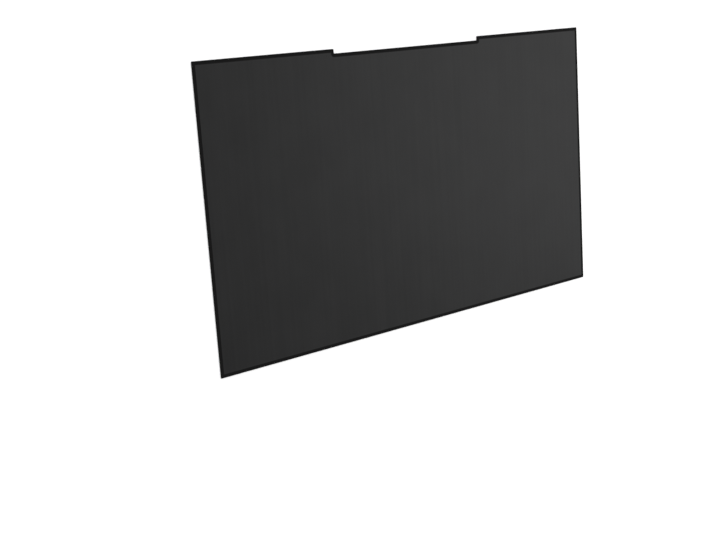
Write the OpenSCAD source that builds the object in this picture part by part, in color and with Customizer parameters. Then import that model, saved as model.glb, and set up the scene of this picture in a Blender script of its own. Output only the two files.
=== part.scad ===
// Privacy filter: one flat sheet of dark louvre film, laminated stiff and cut to one outline.
// It lies face up with its notched top edge towards +Y, and the middle of its back is the origin.

/* [Sheet] */
// Width of the sheet, which is that of the 24-inch 16:9 size
sheet_w = 531; // [300:1:900]
// Height from the bottom edge to the floor of the notch, which is that of the same size
body_h = 299; // [150:1:520]
// Thickness of the finished laminate
sheet_t = 1; // [0.6:0.05:3]
// Radius of the four outer corners
corner_r = 1; // [0.5:0.1:10]

/* [Notch] */
// Width of the notch in the middle of the top edge, which leaves a camera's view clear
notch_w = 200; // [40:1:260]
// Depth of the notch, which is also how far the tab at each side of it stands up
notch_depth = 4.6; // [3:0.1:20]
// Radius of the two inside corners on the floor of the notch
notch_floor_r = 1; // [0.5:0.1:1.4]
// Radius of the two outside corners at the mouth of the notch
notch_mouth_r = 1; // [0.5:0.1:1.4]

/* [Edge] */
// Width of the 45 degree break where the cut edge meets each face
edge_break = 0.2; // [0.05:0.01:0.28]

/* [Hidden] */
$fn = 64;

// Height over the tabs, and the lines that the top edge follows
sheet_h = body_h + notch_depth;
top_y = sheet_h / 2;
notch_floor_y = top_y - notch_depth;
// How far a cutter reaches past the surface that it cuts
past = 1;
film_colour = [0.21, 0.21, 0.22];

// Section across a block that is 2 * half wide: the sheet itself has both of its edges broken,
// and a cutter flares by as much instead, so that it leaves a broken edge at each face
module section(half, cutter) {
    over = cutter ? past : 0;
    lean = cutter ? edge_break + past : -edge_break;
    polygon([
        [-half - lean, -over], [half + lean, -over],
        [half, edge_break], [half, sheet_t - edge_break],
        [half + lean, sheet_t + over], [-half - lean, sheet_t + over],
        [-half, sheet_t - edge_break], [-half, edge_break],
    ]);
}

// The section swept along Y, with its middle at the origin
module swept(half, length, cutter) {
    rotate([90, 0, 0])
        linear_extrude(length, center = true)
            section(half, cutter);
}

// The section turned about Z, which rounds a corner with the same broken edges
module turned(radius, cutter = false) {
    widest = radius + edge_break + past;
    rotate_extrude()
        intersection() {
            section(radius, cutter);
            translate([0, -past])
                square([widest, sheet_t + 2 * past]);
        }
}

// A block w by h in plan with four round corners
module rounded_block(w, h, radius, cutter = false) {
    swept(w / 2, h - 2 * radius, cutter);
    rotate([0, 0, 90])
        swept(h / 2, w - 2 * radius, cutter);
    for (x = [-1, 1], y = [-1, 1])
        translate([x * (w / 2 - radius), y * (h / 2 - radius), 0])
            turned(radius, cutter);
}

// Opens the middle of the top edge, with a round corner at each end of its floor
module notch_cutter() {
    cutter_h = notch_depth + notch_floor_r + past;
    translate([0, notch_floor_y + cutter_h / 2, 0])
        rounded_block(notch_w, cutter_h, notch_floor_r, cutter = true);
}

// What rounding takes off a corner that points to +X and +Y, from the centre of its radius
module corner_trim(radius) {
    difference() {
        translate([0, 0, -past])
            cube([radius + past, radius + past, sheet_t + 2 * past]);
        turned(radius);
    }
}

// The sheet, with the notch cut in and the corners at its mouth rounded
module filter_sheet() {
    color(film_colour)
        difference() {
            rounded_block(sheet_w, sheet_h, corner_r);
            notch_cutter();
            for (side = [0, 1])
                mirror([side, 0, 0])
                    translate([-notch_w / 2 - notch_mouth_r, top_y - notch_mouth_r, 0])
                        corner_trim(notch_mouth_r);
        }
}

filter_sheet();
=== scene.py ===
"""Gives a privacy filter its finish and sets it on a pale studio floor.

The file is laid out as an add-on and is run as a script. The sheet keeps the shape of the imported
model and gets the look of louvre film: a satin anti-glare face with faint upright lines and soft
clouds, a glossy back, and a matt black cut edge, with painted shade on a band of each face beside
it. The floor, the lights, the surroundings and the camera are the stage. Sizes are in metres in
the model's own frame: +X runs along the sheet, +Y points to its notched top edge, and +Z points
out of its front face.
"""

import math

import bpy
from bpy.props import FloatProperty, FloatVectorProperty, PointerProperty
from mathutils import Matrix, Quaternion, Vector


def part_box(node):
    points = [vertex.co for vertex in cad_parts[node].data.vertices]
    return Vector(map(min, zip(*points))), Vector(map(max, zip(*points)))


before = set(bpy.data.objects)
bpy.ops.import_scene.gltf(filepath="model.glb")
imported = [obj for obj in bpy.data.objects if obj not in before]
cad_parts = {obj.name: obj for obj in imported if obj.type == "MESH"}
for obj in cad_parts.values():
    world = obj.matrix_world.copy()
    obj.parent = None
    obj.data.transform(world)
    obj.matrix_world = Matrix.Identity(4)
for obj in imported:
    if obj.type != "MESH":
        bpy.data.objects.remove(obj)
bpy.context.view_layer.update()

bl_info = {
    "name": "Privacy filter",
    "version": (1, 0, 0),
    "blender": (4, 5, 0),
    "location": "3D View > Sidebar > Privacy filter",
    "description": "Finishes a sheet of louvre film and lights it on a pale floor",
    "category": "Object",
}

SHEET = "filter_sheet"
SHEET_LOW, SHEET_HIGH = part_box(SHEET)
MID_THICKNESS = (SHEET_LOW.z + SHEET_HIGH.z) / 2
MILLIMETRE = 0.001
# Too small a distance to see, and far larger than a rounding error
HAIR = 0.05 * MILLIMETRE
# The floor's side, which takes its edge out of every view
FLOOR_SIZE = 60.0
WHITE = (1.0, 1.0, 1.0)

# A louvre line is this many times as long as it is wide, and a broad band holds this many lines
LINE_LENGTHS = 80
LINES_IN_BAND = 8
# How much of the lines is fine ones, where the rest is broad bands
FINE_SHARE = 0.8
# Noise mostly stays between these two values, so they are spread over a whole range
NOISE_LOW = 0.38
NOISE_HIGH = 0.62
# How far the etched grain can take the roughness of the anti-glare face to each side of its mean
GRAIN_ROUGHNESS = 0.065
# Roughness of a surface that is matt from every side
MATT = 1.0
# The share of the painted shade band's width over which its inner border fades
PAINTED_SHADE_FADE = 0.2


class FilmSettings(bpy.types.PropertyGroup):
    """What the louvre film looks like."""

    colour: FloatVectorProperty(
        name="Film",
        description="Mean colour of the film, seen from a side where its louvres are shut",
        subtype="COLOR", min=0.0, max=1.0,
        default=(0.0145, 0.0145, 0.0148),
    )
    unevenness: FloatProperty(
        name="Unevenness",
        description="How far the film's colour strays to each side of its mean",
        subtype="FACTOR", min=0.0, max=0.5,
        default=0.11,
    )
    line_width: FloatProperty(
        name="Line width",
        description="Width of the faint upright lines that the louvres leave",
        subtype="DISTANCE", unit="LENGTH", min=0.0005, max=0.02,
        default=1.6 * MILLIMETRE,
    )
    cloud_size: FloatProperty(
        name="Cloud size",
        description="Width of the soft clouds in the film's colour",
        subtype="DISTANCE", unit="LENGTH", min=0.005, max=0.5,
        default=53.0 * MILLIMETRE,
    )
    line_share: FloatProperty(
        name="Line share",
        description="How much of the unevenness is lines, where the rest is clouds",
        subtype="FACTOR", min=0.0, max=1.0,
        default=0.5,
    )
    gloss: FloatProperty(
        name="Gloss",
        description="Strength of the reflection, where 0.5 is that of bare plastic",
        subtype="FACTOR", min=0.0, max=1.0,
        default=0.25,
    )
    front_roughness: FloatProperty(
        name="Front roughness",
        description="Roughness of the anti-glare face",
        subtype="FACTOR", min=0.05, max=0.95,
        default=0.42,
    )
    back_roughness: FloatProperty(
        name="Back roughness",
        description="Roughness of the glossy back",
        subtype="FACTOR", min=0.05, max=0.95,
        default=0.16,
    )
    grain_size: FloatProperty(
        name="Grain size",
        description="Distance between the bumps of the anti-glare grain",
        subtype="DISTANCE", unit="LENGTH", min=0.0001, max=0.005,
        default=0.8 * MILLIMETRE,
    )
    grain_depth: FloatProperty(
        name="Grain depth",
        description="Height of the bumps of the anti-glare grain",
        subtype="DISTANCE", unit="LENGTH", min=0.0, max=0.001,
        default=0.02 * MILLIMETRE,
    )
    # Near-black of the cut wall, which is the film's own, and of the painted edge shade on the band
    # of each face beside it
    cut_and_painted_shade_colour: FloatVectorProperty(
        name="Rim",
        description="Colour of the rim along the cut edge",
        subtype="COLOR", min=0.0, max=1.0,
        default=(0.002, 0.002, 0.002),
    )
    # Width of the painted edge shade on each face, which is also made matt
    painted_shade_width: FloatProperty(
        name="Rim width",
        description="Width of the rim on each face",
        subtype="DISTANCE", unit="LENGTH", min=0.0, max=0.02,
        default=4.0 * MILLIMETRE,
    )


class StudioSettings(bpy.types.PropertyGroup):
    """How the sheet is lit and seen."""

    floor_colour: FloatVectorProperty(
        name="Floor",
        description="Colour of the floor",
        subtype="COLOR", min=0.0, max=1.0,
        default=(0.8, 0.8, 0.8),
    )
    floor_lift: FloatProperty(
        name="Floor lift",
        description="How much brighter the floor is to the camera than its colour alone makes it",
        subtype="FACTOR", min=0.0, max=1.0,
        default=0.4,
    )
    key_power: FloatProperty(
        name="Key lamp",
        description="Power of the soft lamp beyond the right end, which the face reflects",
        unit="POWER", min=0.0, max=500.0,
        default=2.2,
    )
    key_place: FloatVectorProperty(
        name="Key place",
        description="Where the soft lamp hangs",
        subtype="TRANSLATION", unit="LENGTH",
        default=(1.0, 0.0, 0.9),
    )
    key_aim: FloatVectorProperty(
        name="Key aim",
        description="The point that the soft lamp faces",
        subtype="TRANSLATION", unit="LENGTH",
        default=(0.1, 0.0, 0.0),
    )
    key_size: FloatProperty(
        name="Key size",
        description="Side of the soft lamp",
        subtype="DISTANCE", unit="LENGTH", min=0.05, max=5.0,
        default=0.8,
    )
    window_strength: FloatProperty(
        name="Window light",
        description="Strength of the broad even light from beyond the notched edge",
        min=0.0, max=10.0,
        default=2.15,
    )
    window_place: FloatVectorProperty(
        name="Window place",
        description="A point that the even light comes from, on its way to the middle of the sheet",
        subtype="TRANSLATION", unit="LENGTH",
        default=(0.6, 1.2, 1.0),
    )
    window_angle: FloatProperty(
        name="Window angle",
        description="How wide the even light is in the sky, which softens its shadow",
        subtype="ANGLE", unit="ROTATION", min=0.0, max=math.pi,
        default=math.radians(50),
    )
    horizon: FloatProperty(
        name="Horizon",
        description="Brightness of the surroundings low down, where 1 is white",
        subtype="FACTOR", min=0.0, max=1.0,
        default=1.0,
    )
    ceiling: FloatProperty(
        name="Ceiling",
        description="Brightness of the surroundings overhead, where 1 is white",
        subtype="FACTOR", min=0.0, max=1.0,
        default=0.2,
    )
    camera_place: FloatVectorProperty(
        name="Camera",
        description="Where the camera stands",
        subtype="TRANSLATION", unit="LENGTH",
        default=(-0.8412, 0.1830, 0.9572),
    )
    camera_aim: FloatVectorProperty(
        name="Aim",
        description="The point on the sheet's face that is in the middle of the picture",
        subtype="TRANSLATION", unit="LENGTH",
        default=(-0.0883, -0.0769, SHEET_HIGH.z),
    )
    camera_roll: FloatProperty(
        name="Roll",
        description="Turn about the camera's own axis, where 0 keeps the sheet's height upright",
        subtype="ANGLE", unit="ROTATION",
        default=math.radians(-3.92),
    )
    lens: FloatProperty(
        name="Lens",
        description="Focal length of the camera",
        subtype="DISTANCE_CAMERA", min=10.0, max=300.0,
        default=59.86,
    )


def new_tree(owner):
    """The empty node tree of a new material or world."""
    owner.use_nodes = True
    owner.node_tree.nodes.clear()
    return owner.node_tree


def new_group(name, inputs, outputs):
    """A shader node group that takes a place and some numbers, and gives numbers."""
    tree = bpy.data.node_groups.new(name, "ShaderNodeTree")
    tree.interface.new_socket(name="Place", in_out="INPUT", socket_type="NodeSocketVector")
    for socket in inputs:
        tree.interface.new_socket(name=socket, in_out="INPUT", socket_type="NodeSocketFloat")
    for socket in outputs:
        tree.interface.new_socket(name=socket, in_out="OUTPUT", socket_type="NodeSocketFloat")
    return tree, tree.nodes.new("NodeGroupInput").outputs, tree.nodes.new("NodeGroupOutput").inputs


def use_group(tree, group, values):
    """The outputs of a group that is placed in a tree, with its inputs filled by name."""
    node = tree.nodes.new("ShaderNodeGroup")
    node.node_tree = group
    for name, value in values.items():
        put(tree, value, node.inputs[name])
    return node.outputs


def put(tree, value, socket):
    """Links value to a socket if it is a socket itself, and else sets it there."""
    if isinstance(value, bpy.types.NodeSocket):
        tree.links.new(value, socket)
    else:
        socket.default_value = value


def opaque(colour):
    """A colour with the alpha that a colour socket also takes."""
    return [*colour, 1.0]


def split_up(tree, vector):
    """The X, Y and Z of a vector."""
    node = tree.nodes.new("ShaderNodeSeparateXYZ")
    tree.links.new(vector, node.inputs[0])
    return node.outputs


def maths(tree, operation, *values):
    """The result of a Math node."""
    node = tree.nodes.new("ShaderNodeMath")
    node.operation = operation
    for value, socket in zip(values, node.inputs):
        put(tree, value, socket)
    return node.outputs[0]


def weighed(tree, a, b, share):
    """The mean of a and b, in which a has the given share."""
    return maths(tree, "MULTIPLY_ADD", maths(tree, "SUBTRACT", a, b), share, b)


def ranged(tree, value, low, high, to_low, to_high, smooth=False):
    """value carried from one range to another and kept inside it."""
    node = tree.nodes.new("ShaderNodeMapRange")
    node.interpolation_type = "SMOOTHSTEP" if smooth else "LINEAR"
    for given, socket in zip((value, low, high, to_low, to_high), node.inputs):
        put(tree, given, socket)
    return node.outputs[0]


def noise(tree, place, scale, detail, roughness=0.5):
    """A noise texture's value, from 0 to 1 with its mean at 0.5."""
    node = tree.nodes.new("ShaderNodeTexNoise")
    put(tree, place, node.inputs["Vector"])
    put(tree, scale, node.inputs["Scale"])
    put(tree, detail, node.inputs["Detail"])
    put(tree, roughness, node.inputs["Roughness"])
    return node.outputs[0]


def mixed(tree, factor, a, b):
    """Colour a where factor is 0 and colour b where it is 1."""
    node = tree.nodes.new("ShaderNodeMix")
    node.data_type = "RGBA"
    sockets = {socket.identifier: socket for socket in node.inputs}
    put(tree, factor, sockets["Factor_Float"])
    put(tree, a, sockets["A_Color"])
    put(tree, b, sockets["B_Color"])
    return next(socket for socket in node.outputs if socket.identifier == "Result_Color")


def film_shade():
    """How light the film is from place to place, in faint upright louvre lines and soft clouds."""
    tree, given, result = new_group(
        "Film shade", ["Line width", "Cloud size", "Line share"], ["Shade"]
    )
    stretch = tree.nodes.new("ShaderNodeMapping")
    stretch.inputs["Scale"].default_value = (1.0, 1 / LINE_LENGTHS, 1.0)
    tree.links.new(given["Place"], stretch.inputs["Vector"])
    drawn_out = stretch.outputs[0]
    # One wave of the noise is a lighter line with a darker one beside it
    line_pair = maths(tree, "MULTIPLY", given["Line width"], 2)
    line_scale = maths(tree, "DIVIDE", 1.0, line_pair)
    band_scale = maths(tree, "DIVIDE", line_scale, LINES_IN_BAND)
    cloud_scale = maths(tree, "DIVIDE", 1.0, given["Cloud size"])
    fine = noise(tree, drawn_out, line_scale, detail=3.0)
    broad = noise(tree, drawn_out, band_scale, detail=1.0)
    clouds = noise(tree, given["Place"], cloud_scale, detail=2.0)
    lines = weighed(tree, fine, broad, FINE_SHARE)
    both = weighed(tree, lines, clouds, given["Line share"])
    shade = ranged(tree, both, NOISE_LOW, NOISE_HIGH, 0.0, 1.0)
    tree.links.new(shade, result["Shade"])
    return tree


def etched_grain():
    """The fine even grain of an etched face."""
    tree, given, result = new_group("Etched grain", ["Grain size"], ["Grain"])
    scale = maths(tree, "DIVIDE", 1.0, given["Grain size"])
    grain = noise(tree, given["Place"], scale, detail=2.0, roughness=0.6)
    tree.links.new(grain, result["Grain"])
    return tree


def distance_from_cut():
    """How far a point lies inside a rectangle that has a notch in the middle of its top edge."""
    tree, given, result = new_group(
        "Distance from the cut",
        ["Half width", "Half height", "Half notch", "Notch depth"],
        ["Distance"],
    )
    place = split_up(tree, given["Place"])
    across = maths(tree, "ABSOLUTE", place["X"])
    to_side = maths(tree, "SUBTRACT", given["Half width"], across)
    from_middle = maths(tree, "ABSOLUTE", place["Y"])
    to_top_or_bottom = maths(tree, "SUBTRACT", given["Half height"], from_middle)
    to_outline = maths(tree, "MINIMUM", to_side, to_top_or_bottom)
    notch_floor = maths(tree, "SUBTRACT", given["Half height"], given["Notch depth"])
    beside = maths(tree, "MAXIMUM", maths(tree, "SUBTRACT", across, given["Half notch"]), 0.0)
    below = maths(tree, "MAXIMUM", maths(tree, "SUBTRACT", notch_floor, place["Y"]), 0.0)
    beside_squared = maths(tree, "POWER", beside, 2.0)
    below_squared = maths(tree, "POWER", below, 2.0)
    to_notch = maths(tree, "SQRT", maths(tree, "ADD", beside_squared, below_squared))
    nearest = maths(tree, "MINIMUM", to_outline, to_notch)
    tree.links.new(nearest, result["Distance"])
    return tree


def notch_size(sheet):
    """Half the width of the notch and its depth, read from the corners on the sheet's cut wall."""
    lowest = SHEET_LOW.z + HAIR
    highest = SHEET_HIGH.z - HAIR
    corners = [v.co for v in sheet.data.vertices if lowest < v.co.z < highest]
    upper = [corner for corner in corners if corner.y > 0]
    floor_y = min(corner.y for corner in upper)
    half_way_y = (floor_y + SHEET_HIGH.y) / 2
    half_width = max(abs(corner.x) for corner in upper if corner.y < half_way_y)
    return half_width, SHEET_HIGH.y - floor_y


def film_material(film, half_notch, notch_depth):
    """Charcoal louvre film: satin in front, glossy behind, matt black at the cut, painted shade
    beside it.
    """
    material = bpy.data.materials.new("louvre_film")
    tree = new_tree(material)
    shader = tree.nodes.new("ShaderNodeBsdfPrincipled")
    shader.inputs["Specular IOR Level"].default_value = film.gloss
    output = tree.nodes.new("ShaderNodeOutputMaterial")
    tree.links.new(shader.outputs[0], output.inputs["Surface"])
    place = tree.nodes.new("ShaderNodeTexCoord").outputs["Object"]

    shade = use_group(tree, film_shade(), {
        "Place": place,
        "Line width": film.line_width,
        "Cloud size": film.cloud_size,
        "Line share": film.line_share,
    })["Shade"]
    grain = use_group(tree, etched_grain(), {
        "Place": place,
        "Grain size": film.grain_size,
    })["Grain"]
    distance = use_group(tree, distance_from_cut(), {
        "Place": place,
        "Half width": SHEET_HIGH.x,
        "Half height": SHEET_HIGH.y,
        "Half notch": half_notch,
        "Notch depth": notch_depth,
    })["Distance"]
    # Painted edge shade: each face turns near-black and matt on a band along the cut; on the cut wall
    # itself the black is the film's own
    fade_start = film.painted_shade_width * (1 - PAINTED_SHADE_FADE)
    rim = ranged(tree, distance, fade_start, film.painted_shade_width, 1.0, 0.0, smooth=True)
    front = maths(tree, "GREATER_THAN", split_up(tree, place)["Z"], MID_THICKNESS)

    darker = [part * (1 - film.unevenness) for part in film.colour]
    lighter = [part * (1 + film.unevenness) for part in film.colour]
    film_colour = mixed(tree, shade, opaque(darker), opaque(lighter))
    # The black cut wall, with the painted edge shade on the faces beside it
    colour = mixed(tree, rim, film_colour, opaque(film.cut_and_painted_shade_colour))
    tree.links.new(colour, shader.inputs["Base Color"])

    smoother = film.front_roughness - GRAIN_ROUGHNESS
    rougher = film.front_roughness + GRAIN_ROUGHNESS
    satin = ranged(tree, grain, 0.0, 1.0, smoother, rougher)
    faces = ranged(tree, front, 0.0, 1.0, film.back_roughness, satin)
    roughness = ranged(tree, rim, 0.0, 1.0, faces, MATT)
    tree.links.new(roughness, shader.inputs["Roughness"])

    bump = tree.nodes.new("ShaderNodeBump")
    bump.inputs["Distance"].default_value = film.grain_depth
    tree.links.new(maths(tree, "MULTIPLY", grain, front), bump.inputs["Height"])
    tree.links.new(bump.outputs[0], shader.inputs["Normal"])
    return material


def floor_material(studio):
    """A plain floor that is white to the camera, keeps the sheet's shadow and is clear from below."""
    material = bpy.data.materials.new("studio_floor")
    tree = new_tree(material)
    path = tree.nodes.new("ShaderNodeLightPath").outputs
    matt = tree.nodes.new("ShaderNodeBsdfDiffuse")
    matt.inputs["Color"].default_value = opaque(studio.floor_colour)
    glow = tree.nodes.new("ShaderNodeEmission")
    seen = maths(tree, "MAXIMUM", path["Is Camera Ray"], path["Is Glossy Ray"])
    seen = maths(tree, "MAXIMUM", seen, path["Is Transmission Ray"])
    tree.links.new(maths(tree, "MULTIPLY", seen, studio.floor_lift), glow.inputs["Strength"])
    pale = tree.nodes.new("ShaderNodeAddShader")
    tree.links.new(matt.outputs[0], pale.inputs[0])
    tree.links.new(glow.outputs[0], pale.inputs[1])
    clear = tree.nodes.new("ShaderNodeBsdfTransparent")
    from_below = tree.nodes.new("ShaderNodeNewGeometry").outputs["Backfacing"]
    sided = tree.nodes.new("ShaderNodeMixShader")
    tree.links.new(from_below, sided.inputs[0])
    tree.links.new(pale.outputs[0], sided.inputs[1])
    tree.links.new(clear.outputs[0], sided.inputs[2])
    output = tree.nodes.new("ShaderNodeOutputMaterial")
    tree.links.new(sided.outputs[0], output.inputs["Surface"])
    return material


def lay_floor(studio):
    """The floor that the sheet lies on."""
    # The floor lies a hair below the sheet, because two faces in one plane show through each other
    bpy.ops.mesh.primitive_plane_add(size=FLOOR_SIZE, location=(0, 0, SHEET_LOW.z - HAIR))
    floor = bpy.context.object
    floor.name = "studio_floor"
    floor.data.materials.append(floor_material(studio))


def set_lamp(name, kind, place, aim):
    """A lamp of one kind that faces a point."""
    bpy.ops.object.light_add(type=kind, location=place)
    lamp = bpy.context.object
    lamp.name = name
    lamp.rotation_mode = "QUATERNION"
    lamp.rotation_quaternion = (Vector(aim) - Vector(place)).to_track_quat("-Z", "Y")
    return lamp


def set_lights(studio):
    """A soft lamp off the right end, and broad even light from beyond the notched edge."""
    key = set_lamp("key_lamp", "AREA", studio.key_place, studio.key_aim)
    key.data.shape = "SQUARE"
    key.data.size = studio.key_size
    key.data.energy = studio.key_power
    window = set_lamp("window_light", "SUN", studio.window_place, (0, 0, 0))
    window.data.angle = studio.window_angle
    window.data.energy = studio.window_strength


def set_surroundings(studio):
    """A room that is white low down and dims towards the ceiling."""
    world = bpy.data.worlds.new("studio")
    bpy.context.scene.world = world
    tree = new_tree(world)
    direction = tree.nodes.new("ShaderNodeTexCoord").outputs["Generated"]
    height = split_up(tree, direction)["Z"]
    level = ranged(tree, height, 0.0, 1.0, studio.horizon, studio.ceiling, smooth=True)
    light = tree.nodes.new("ShaderNodeBackground")
    light.inputs["Color"].default_value = opaque(WHITE)
    tree.links.new(level, light.inputs["Strength"])
    output = tree.nodes.new("ShaderNodeOutputWorld")
    tree.links.new(light.outputs[0], output.inputs["Surface"])


def set_camera(studio):
    """The camera, which looks down on the lying sheet from the photograph's angle."""
    bpy.ops.object.camera_add(location=studio.camera_place)
    camera = bpy.context.object
    camera.name = "camera"
    back = (Vector(studio.camera_place) - Vector(studio.camera_aim)).normalized()
    level_right = Vector((0, 1, 0)).cross(back).normalized()
    level_up = back.cross(level_right)
    roll = Quaternion(back, studio.camera_roll)
    right = roll @ level_right
    up = roll @ level_up
    camera.rotation_mode = "QUATERNION"
    camera.rotation_quaternion = Matrix((right, up, back)).transposed().to_quaternion()
    camera.data.lens = studio.lens
    bpy.context.scene.camera = camera


class FILTER_OT_finish_sheet(bpy.types.Operator):
    """Give the sheet the finish of louvre film"""

    bl_idname = "filter.finish_sheet"
    bl_label = "Finish the sheet"
    bl_options = {"REGISTER", "UNDO"}

    def execute(self, context):
        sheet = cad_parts[SHEET]
        if not sheet.material_slots:
            raise RuntimeError("the sheet has no material slot to fill")
        material = film_material(context.scene.filter_film, *notch_size(sheet))
        for slot in sheet.material_slots:
            slot.material = material
        return {"FINISHED"}


class FILTER_OT_build_stage(bpy.types.Operator):
    """Set the floor, the lights, the surroundings and the camera"""

    bl_idname = "filter.build_stage"
    bl_label = "Build the stage"
    bl_options = {"REGISTER", "UNDO"}

    def execute(self, context):
        studio = context.scene.filter_studio
        bpy.ops.object.select_all(action="DESELECT")
        lay_floor(studio)
        set_lights(studio)
        set_surroundings(studio)
        set_camera(studio)
        context.scene.view_settings.view_transform = "Standard"
        return {"FINISHED"}


class FILTER_PT_sidebar(bpy.types.Panel):
    """The filter's settings, and the steps that use them"""

    bl_idname = "FILTER_PT_sidebar"
    bl_label = "Privacy filter"
    bl_space_type = "VIEW_3D"
    bl_region_type = "UI"
    bl_category = "Privacy filter"

    def draw(self, context):
        scene = context.scene
        steps = (
            (scene.filter_film, FILTER_OT_finish_sheet),
            (scene.filter_studio, FILTER_OT_build_stage),
        )
        for settings, step in steps:
            box = self.layout.box()
            for name in settings.__annotations__:
                box.prop(settings, name)
            box.operator(step.bl_idname)


CLASSES = (
    FilmSettings,
    StudioSettings,
    FILTER_OT_finish_sheet,
    FILTER_OT_build_stage,
    FILTER_PT_sidebar,
)


def register():
    """Adds the settings, the steps and the panel."""
    for kind in CLASSES:
        bpy.utils.register_class(kind)
    bpy.types.Scene.filter_film = PointerProperty(type=FilmSettings)
    bpy.types.Scene.filter_studio = PointerProperty(type=StudioSettings)


def unregister():
    """Takes the settings, the steps and the panel away again."""
    del bpy.types.Scene.filter_studio
    del bpy.types.Scene.filter_film
    for kind in reversed(CLASSES):
        bpy.utils.unregister_class(kind)


def main():
    """Runs every step in order."""
    register()
    bpy.ops.filter.finish_sheet()
    bpy.ops.filter.build_stage()


if __name__ == "__main__":
    main()
